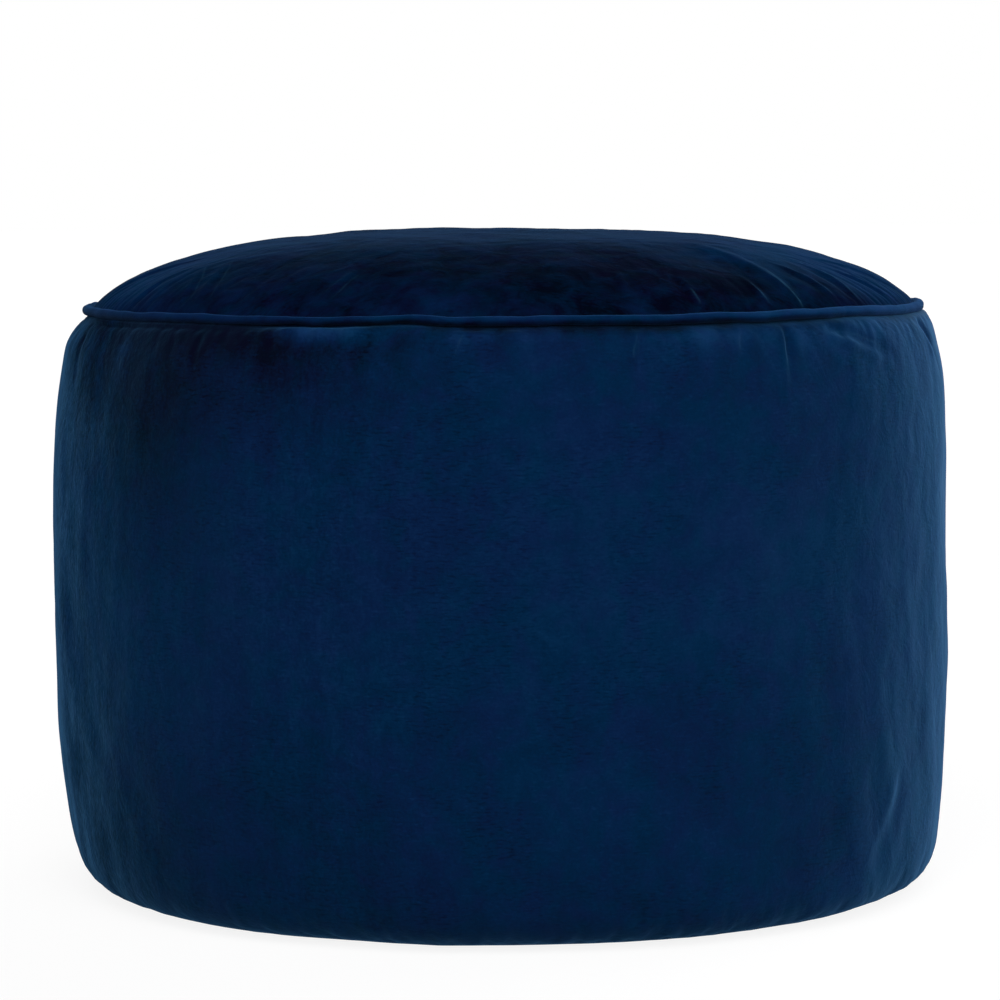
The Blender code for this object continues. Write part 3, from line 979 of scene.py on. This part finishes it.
def piping():
    azimuths = ring_azimuths(AZIMUTH_STEPS)
    turn = np.radians(azimuths)
    ring = ways(turn) * PIPING_RING_RADIUS
    sides = np.arange(PIPING_SIDES) * 2 * pi / PIPING_SIDES
    around, section = np.meshgrid(turn, sides, indexing="ij")
    on_cord = np.concatenate([PIPING_RING_RADIUS * ways(around), SKIN_RADIUS * ways(section)], -1)

    thin = 1 - bells_round(azimuths, PIPING_THINNER) + ripples(ring, *THICKNESS_WAVES)
    radius = PIPING_RADIUS * (thin[:, None] + ripples(on_cord, *SKIN_WAVES))
    lift = ripples(ring, *LIFT_WAVES) + bells_round(azimuths, PIPING_LIFTS + SEAM_RISES)
    reach = PIPING_RING_RADIUS + ripples(ring, *SWAY_WAVES)[:, None] + radius * np.cos(section)
    x = AXIS_X + SEAM_SHIFT + reach * np.cos(around)
    y = AXIS_Y + reach * np.sin(around)
    z = SEAM_HEIGHT + lift[:, None] + radius * np.sin(section)
    vertices = np.stack([x, y, z], -1).reshape(-1, 3)
    faces = band_faces(AZIMUTH_STEPS + 1, PIPING_SIDES) % len(vertices)
    piece = mesh_object("piping_velvet", vertices, faces.tolist())

    add_values(piece, "pile_and_painted_light", piping_pile_and_painted_light(azimuths, section, on_cord))
    along = arc(azimuths, FRONT, PIPING_RING_RADIUS)[:, None] + 0 * section
    add_places(piece, np.stack([along, section * PIPING_RADIUS, 0 * section], -1))
    return piece


def base_panel():
    """The plain disc under the footstool: flat on the floor, turned up a little at its edge."""
    rows = [(BASE_RADIUS * share, 0.0) for share in BASE_SHARES]
    rows += [(BASE_RADIUS - inward, height) for inward, height in BASE_EDGE]
    rows += [(BASE_RADIUS - BASE_BEVEL, BASE_THICKNESS)]
    rows += [(BASE_RADIUS * BASE_TOP_SHARE, BASE_THICKNESS)]
    turn = np.arange(BASE_STEPS) * 2 * pi / BASE_STEPS
    faces = [face[::-1] for face in closed_band(len(rows), BASE_STEPS)]
    return mesh_object("base_panel_cloth", np.concatenate(level_rings(turn, rows)), faces)


# ---- materials
class Nodes:
    """Short names for the nodes that the materials and the world use."""

    def __init__(self, owner):
        owner.use_nodes = True
        self.tree = owner.node_tree
        self.shader = self.tree.nodes.get("Principled BSDF")

    def fill(self, node, inputs):
        """Links each input that is given a socket, and sets the others."""
        for key, value in inputs.items():
            if isinstance(value, bpy.types.NodeSocket):
                self.tree.links.new(value, node.inputs[key])
            else:
                node.inputs[key].default_value = value

    def add(self, kind, inputs=None, **settings):
        node = self.tree.nodes.new(kind)
        for key, value in settings.items():
            setattr(node, key, value)
        self.fill(node, inputs or {})
        return node

    def body_places(self):
        return self.add("ShaderNodeTexCoord").outputs["Object"]

    def attribute(self, name, output="Fac"):
        return self.add("ShaderNodeAttribute", attribute_name=name).outputs[output]

    def math(self, operation, a, b=0.0, c=0.0):
        return self.add("ShaderNodeMath", {0: a, 1: b, 2: c}, operation=operation).outputs[0]

    def vector(self, operation, inputs, output="Vector"):
        return self.add("ShaderNodeVectorMath", inputs, operation=operation).outputs[output]

    def centred(self, value):
        return self.math("SUBTRACT", value, 0.5)

    def spread(self, value, low, high):
        """0 below the low value, 1 above the high one, and even between them."""
        step = self.math("MULTIPLY_ADD", value, 1 / (high - low), -low / (high - low))
        step.node.use_clamp = True
        return step

    def dot_less(self, place, way, start):
        """How far each place is along a way, less the start."""
        return self.math("SUBTRACT", self.vector("DOT_PRODUCT", {0: place, 1: way}, "Value"), start)

    def noise(self, place, *settings):
        """Noise at each place: how fine, detail, roughness, distortion."""
        inputs = dict(zip(("Scale", "Detail", "Roughness", "Distortion"), settings))
        return self.add("ShaderNodeTexNoise", {"Vector": place, **inputs}).outputs["Fac"]

    def noise_along(self, cloth, round_scale, up_scale, *settings):
        """Noise along the cloth: how fine round it and up it, detail, roughness, distortion."""
        inputs = {"Vector": cloth, "Scale": (round_scale, up_scale, 1.0)}
        place = self.add("ShaderNodeMapping", inputs, vector_type="POINT").outputs[0]
        return self.noise(place, 1.0, *settings)

    def ramp_between(self, tone, colours, middle=None):
        """A colour for each tone from 0 to 1, by way of a middle one if there is one."""
        colour_ramp = self.add("ShaderNodeValToRGB", {"Fac": tone})
        elements = colour_ramp.color_ramp.elements
        elements[0].color, elements[1].color = colours
        if middle:
            elements.new(0.5).color = middle
        return colour_ramp.outputs["Color"]

    def mix(self, share, one, other):
        inputs = {"Fac": share, "Color1": one, "Color2": other}
        return self.add("ShaderNodeMixRGB", inputs).outputs["Color"]

    def bump(self, height, strength, distance):
        inputs = {"Height": height, "Strength": strength, "Distance": distance}
        return self.add("ShaderNodeBump", inputs).outputs["Normal"]


# The velvet's colours by tone, which follows how its pile lies and the painted light and shade: a
# greener and a more violet kind of each.
VELVET_DARK = ((0.0006, 0.0026, 0.0082, 1), (0.0018, 0.0013, 0.0094, 1))
VELVET_MIDDLE = ((0.0004, 0.017, 0.058, 1), (0.0022, 0.014, 0.0605, 1))
VELVET_LIGHT = ((0.0045, 0.037, 0.112, 1), (0.0065, 0.0325, 0.115, 1))
# The pale colour of the painted highlight lines along creases.
HIGHLIGHT_LINE_COLOUR = (0.03, 0.105, 0.19, 1)
SHEEN_TINT = (0.034, 0.13, 0.272, 1)
WARMER_SHEEN_TINT = (0.056, 0.131, 0.272, 1)
# Its noises through the body.
BLOTCHES = (11, 2, 0.5, 0.5)
CLOUDS = (70, 3, 0.62, 0.6)
DASH_PATCHES = (26, 1)
FLECKS = (640, 1, 0.6)
BROAD_HUES = (17, 2, 0.5, 0.4)
FINE_HUES = (90, 1, 0.5, 0.5)
HIGHLIGHT_LINE_SWAYS = (90, 1)
HIGHLIGHT_LINE_BREAKS = (130, 1)
# Its noises along the cloth.
DARK_DASHES = (200, 820, 1)
LIGHT_DASHES = (230, 700, 1)
STREAKS = (420, 200, 2, 0.6, 0.5)
STREAK_BANDS = (95, 14, 2)
RUFFLES = (270, 190, 2, 0.6)
# How much each changes the tone, at a grain of 1.
BLOTCH_TONE = 0.26
FLECK_TONE = 0.20
STREAK_TONE = 1.2
DARK_DASH_TONE = -0.20
LIGHT_DASH_TONE = 0.13
# Between which values of its noise each goes from none to full.
DARK_DASHES_FROM = (0.50, 0.74)
DASH_PATCHES_FROM = (0.42, 0.62)
LIGHT_DASHES_FROM = (0.56, 0.80)
HIGHLIGHT_LINES_FROM = (0.35, 0.60)
VIOLET_FROM = (0.68, 1.02)
STREAKS_FROM = 0.9
# Shares: streak bands and fine hues beside the other noise, and what a broken highlight line keeps.
BANDS = 0.8
FINER_HUES = 0.7
BROKEN_HIGHLIGHT_KEEPS = 0.4
ROUGHER_WHERE_STREAKY = 1.2
# How high each makes the pile stand.
CLOUD_RELIEF = 1.6
FLECK_RELIEF = 0.18
STREAK_RELIEF = 1.4
DASH_RELIEF = -0.25
VELVET_BUMP = (0.6, 0.0006)


def painted_highlight_lines(n, place, ends):
    """Painted highlight lines along creases: 1 along each line's middle, 0 away from it."""
    sway = n.noise(place, *HIGHLIGHT_LINE_SWAYS)
    sway = n.math("MULTIPLY_ADD", sway, HIGHLIGHT_LINE_SWAY, -HIGHLIGHT_LINE_SWAY / 2)
    patchy = n.spread(n.noise(place, *HIGHLIGHT_LINE_BREAKS), *HIGHLIGHT_LINES_FROM)
    patchy = n.math("MULTIPLY_ADD", patchy, 1 - BROKEN_HIGHLIGHT_KEEPS, BROKEN_HIGHLIGHT_KEEPS)
    total = 0.0
    for start, end, bow, strength in ends:
        start, end = Vector((*start, 0.0)), Vector((*end, 0.0))
        way = (end - start) / (end - start).length_squared
        side = Vector((-way.y, way.x, 0.0)).normalized()
        along = n.dot_less(place, way, start.dot(way))
        inside = n.math("MULTIPLY", along, n.math("SUBTRACT", 1.0, along))
        inside.node.use_clamp = True
        aside = n.math("MULTIPLY_ADD", inside, 4 * bow, n.dot_less(place, side, start.dot(side)))
        aside = n.math("DIVIDE", n.math("ADD", aside, sway), HIGHLIGHT_LINE_WIDTH)
        line = n.math("EXPONENT", n.math("MULTIPLY", n.math("MULTIPLY", aside, aside), -1.0))
        fade = n.math("MULTIPLY", n.math("POWER", inside, 0.6), 2.3 * strength)
        total = n.math("MULTIPLY_ADD", line, fade, total)
    total = n.math("MULTIPLY", total, patchy)
    total.node.use_clamp = True
    return total


def velvet_streaks(n, cloth, streaky):
    """Upright streaks of brushed pile, where the side is streaky."""
    bands, fine = n.noise_along(cloth, *STREAK_BANDS), n.noise_along(cloth, *STREAKS)
    streak = n.math("MULTIPLY_ADD", bands, BANDS, fine)
    return n.math("MULTIPLY", n.math("SUBTRACT", streak, STREAKS_FROM), streaky)


def leaned(n, cloth, streaky, normal):
    """The normal with the pile leaning round the side."""
    ruffle = n.math("MULTIPLY", n.centred(n.noise_along(cloth, *RUFFLES)), streaky)
    lean = n.math("MULTIPLY_ADD", ruffle, RUFFLE, n.attribute("lean"))
    aside = n.vector("CROSS_PRODUCT", {0: (0.0, 0.0, 1.0), 1: normal})
    aside = n.vector("SCALE", {0: aside, "Scale": lean})
    return n.vector("NORMALIZE", {0: n.vector("ADD", {0: normal, 1: aside})})


def layered(n, total, layers):
    """The total with each layer added in its own strength."""
    for layer, strength in layers:
        total = n.math("MULTIPLY_ADD", layer, strength, total)
    return total


def velvet_colour(n, body, tone):
    """The velvet's colour for a tone, now greener and now more violet."""
    fine = n.noise(body, *FINE_HUES)
    hue = n.math("MULTIPLY_ADD", fine, FINER_HUES, n.noise(body, *BROAD_HUES))
    kinds = [
        n.ramp_between(tone, (dark, light), middle)
        for dark, middle, light in zip(VELVET_DARK, VELVET_MIDDLE, VELVET_LIGHT)
    ]
    return n.mix(n.spread(hue, *VIOLET_FROM), *kinds)


def velvet(
    name,
    middle=0.5,
    grain=1.0,
    mottle=0.30,
    sheen=1.0,
    sheen_width=0.45,
    tint=WARMER_SHEEN_TINT,
    gloss=0.0,
    highlight_lines=(),
    leaning=False,
):
    """Short-piled velvet. Its tone is 0 where it shows darkest and 1 where it is lightest, painted
    light and shade included.
    """
    material = bpy.data.materials.new(name)
    n = Nodes(material)
    body = n.body_places()
    cloth = n.attribute("cloth", "Vector")
    streaky = n.attribute("streaky")
    cloud = n.noise(body, *CLOUDS)
    dash = n.noise_along(cloth, *DARK_DASHES)
    patch = n.spread(n.noise(body, *DASH_PATCHES), *DASH_PATCHES_FROM)
    dark_dash = n.math("MULTIPLY", n.spread(dash, *DARK_DASHES_FROM), patch)
    light_dash = n.spread(n.noise_along(cloth, *LIGHT_DASHES), *LIGHT_DASHES_FROM)
    streak = velvet_streaks(n, cloth, streaky)
    rough = n.math("MULTIPLY_ADD", streaky, ROUGHER_WHERE_STREAKY, 1.0)
    fleck = n.noise(body, *FLECKS)

    tones = (
        (n.centred(n.noise(body, *BLOTCHES)), BLOTCH_TONE),
        (n.centred(cloud), mottle),
        (n.math("MULTIPLY", n.centred(fleck), rough), FLECK_TONE * grain),
        (streak, STREAK_TONE * grain),
        (dark_dash, DARK_DASH_TONE * grain),
        (light_dash, LIGHT_DASH_TONE * grain),
    )
    # The tone takes in the painted light and shade as well as the pile's own unevenness.
    tone = layered(n, n.math("ADD", n.attribute("pile_and_painted_light"), middle), tones)
    colour = velvet_colour(n, body, tone)
    # Painted highlight lines along the creases.
    if highlight_lines:
        colour = n.mix(painted_highlight_lines(n, cloth, highlight_lines), colour, HIGHLIGHT_LINE_COLOUR)
    pile = n.math("MULTIPLY", fleck, rough)
    reliefs = ((cloud, CLOUD_RELIEF), (pile, FLECK_RELIEF), (streak, STREAK_RELIEF))
    relief = layered(n, n.math("MULTIPLY", dash, DASH_RELIEF), reliefs)
    normal = n.bump(relief, *VELVET_BUMP)
    if leaning:
        normal = leaned(n, cloth, streaky, normal)
    shader_inputs = {
        "Base Color": colour,
        "Normal": normal,
        "Roughness": 0.9,
        "Specular IOR Level": gloss,
        "Sheen Weight": sheen,
        "Sheen Roughness": sheen_width,
        "Sheen Tint": tint,
    }
    n.fill(n.shader, shader_inputs)
    return material


def highlight_line_ends(lines, place):
    """Where each painted highlight line starts and ends on the cloth, how far it bows, and how
    light it is.
    """
    return [(place(*line[:2]), place(*line[2:4]), *line[4:]) for line in lines]


CLOTH_DARK = (0.0025, 0.0028, 0.0035, 1.0)
CLOTH_LIGHT = (0.0140, 0.0150, 0.0180, 1.0)
THREADS = 320
WEAR = (30, 3)
WEAVE_BUMP = (0.4, 0.0004)


def plain_cloth(name):
    """Plain black woven cloth."""
    material = bpy.data.materials.new(name)
    n = Nodes(material)
    body = n.body_places()
    warp, weft = (
        n.add("ShaderNodeTexWave", {"Vector": body, "Scale": THREADS}, bands_direction=way)
        for way in "XY"
    )
    weave = n.math("MULTIPLY", warp.outputs["Fac"], weft.outputs["Fac"])
    wear_and_foot_shade = n.noise(body, *WEAR)
    tone = n.math("MULTIPLY_ADD", wear_and_foot_shade, 0.5, n.math("MULTIPLY", weave, 0.5))
    shader_inputs = {
        "Base Color": n.ramp_between(tone, (CLOTH_DARK, CLOTH_LIGHT)),
        "Normal": n.bump(weave, *WEAVE_BUMP),
        "Roughness": 0.9,
        "Specular IOR Level": 0.2,
    }
    n.fill(n.shader, shader_inputs)
    return material


# ---- stage, light and camera
WHITE = (1.0, 1.0, 1.0, 1.0)
FLOOR_SIZE = 60
FLOOR_DROP = 0.0002
FLOOR_GREY = (0.2, 0.2, 0.2, 1.0)
FLOOR_GLOW = 0.87


def white_floor():
    """A pale floor that takes a faint shadow and throws no light back on the object."""
    bpy.ops.mesh.primitive_plane_add(size=FLOOR_SIZE, location=(0, 0, -FLOOR_DROP))
    floor = bpy.context.object
    floor.name = "floor"
    floor.visible_diffuse = floor.visible_glossy = False
    material = bpy.data.materials.new("pale_floor")
    n = Nodes(material)
    shader_inputs = {
        "Base Color": FLOOR_GREY,
        "Roughness": 1.0,
        "Specular IOR Level": 0.0,
        "Emission Color": WHITE,
        "Emission Strength": FLOOR_GLOW,
    }
    n.fill(n.shader, shader_inputs)
    floor.data.materials.append(material)


# Soft lights all round, as glows in the world: azimuth, height above the horizon, strength.
GLOWS = (
    (-90.0, 38.0, 4.20),
    (60.0, 3.0, 5.52),
    (30.0, 3.0, 1.43),
    (-30.0, -35.0, 1.00),
    (-90.0, -35.0, 0.45),
    (180.0, -8.0, 0.26),
    (120.0, 0.0, 0.40),
)
GLOW_FOCUS = 8.0


def studio():
    """A white room for the camera to see, and the glows for the object to be lit by."""
    world = bpy.data.worlds.new("studio")
    bpy.context.scene.world = world
    n = Nodes(world)
    n.tree.nodes.clear()
    way = n.add("ShaderNodeTexCoord").outputs["Generated"]
    way = n.vector("NORMALIZE", {0: way})
    total = 0.0
    for azimuth, height, strength in GLOWS:
        turn, lift = radians(azimuth), radians(height)
        towards = (cos(lift) * cos(turn), cos(lift) * sin(turn), sin(lift))
        facing = n.math("MAXIMUM", n.vector("DOT_PRODUCT", {0: way, 1: towards}, "Value"))
        total = n.math("MULTIPLY_ADD", n.math("POWER", facing, GLOW_FOCUS), strength, total)
    lit = n.add("ShaderNodeBackground", {"Color": WHITE, "Strength": total}).outputs[0]
    seen = n.add("ShaderNodeBackground", {"Color": WHITE, "Strength": 1.0}).outputs[0]
    direct = n.add("ShaderNodeLightPath").outputs["Is Camera Ray"]
    mixed = n.add("ShaderNodeMixShader", {0: direct, 1: lit, 2: seen}).outputs[0]
    n.add("ShaderNodeOutputWorld", {"Surface": mixed})


# The photograph's camera: millimetres, metres, and degrees down and round its own axis.
SENSOR_WIDTH = 36.0
FOCAL_LENGTH = 140.1
CAMERA_PLACE = (0.0008, -2.1775, 0.3907)
CAMERA_DOWN = 4.69
CAMERA_ROLL = -0.39


def camera():
    data = bpy.data.cameras.new("camera")
    data.sensor_width = SENSOR_WIDTH
    data.lens = FOCAL_LENGTH
    view = bpy.data.objects.new("camera", data)
    tilt = Matrix.Rotation(radians(90 - CAMERA_DOWN), 4, "X")
    roll = Matrix.Rotation(radians(CAMERA_ROLL), 4, "Z")
    view.matrix_world = Matrix.Translation(CAMERA_PLACE) @ tilt @ roll
    bpy.context.scene.collection.objects.link(view)
    bpy.context.scene.camera = view
    bpy.context.scene.view_settings.view_transform = "Standard"


def dress(piece, material, node):
    """Gives the piece its material, hangs it under the root body and hides the CAD part it
    replaces.
    """
    piece.data.materials.append(material)
    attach(piece, "root")
    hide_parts(node)


camera()
studio()
white_floor()
side_velvet = velvet(
    "velvet_side",
    tint=SHEEN_TINT,
    gloss=0.01,
    highlight_lines=highlight_line_ends(SIDE_HIGHLIGHT_LINES, side_place),
    leaning=True,
)
# The crown's velvet, set darker in its middle tone than the side's: painted shade on the top.
shaded_top_velvet = velvet(
    "velvet_top",
    middle=0.218,
    grain=0.6,
    mottle=0.62,
    sheen=0.40,
    sheen_width=0.30,
    highlight_lines=highlight_line_ends(CROWN_HIGHLIGHT_LINES, crown_place),
)
piping_velvet = velvet("velvet_piping", middle=0.55, grain=0.6, sheen=0.5)
dress(side_panel(), side_velvet, "side_panel")
dress(top_panel(), shaded_top_velvet, "top_panel")
dress(piping(), piping_velvet, "piping")
dress(base_panel(), plain_cloth("underside_cloth"), "base_panel")
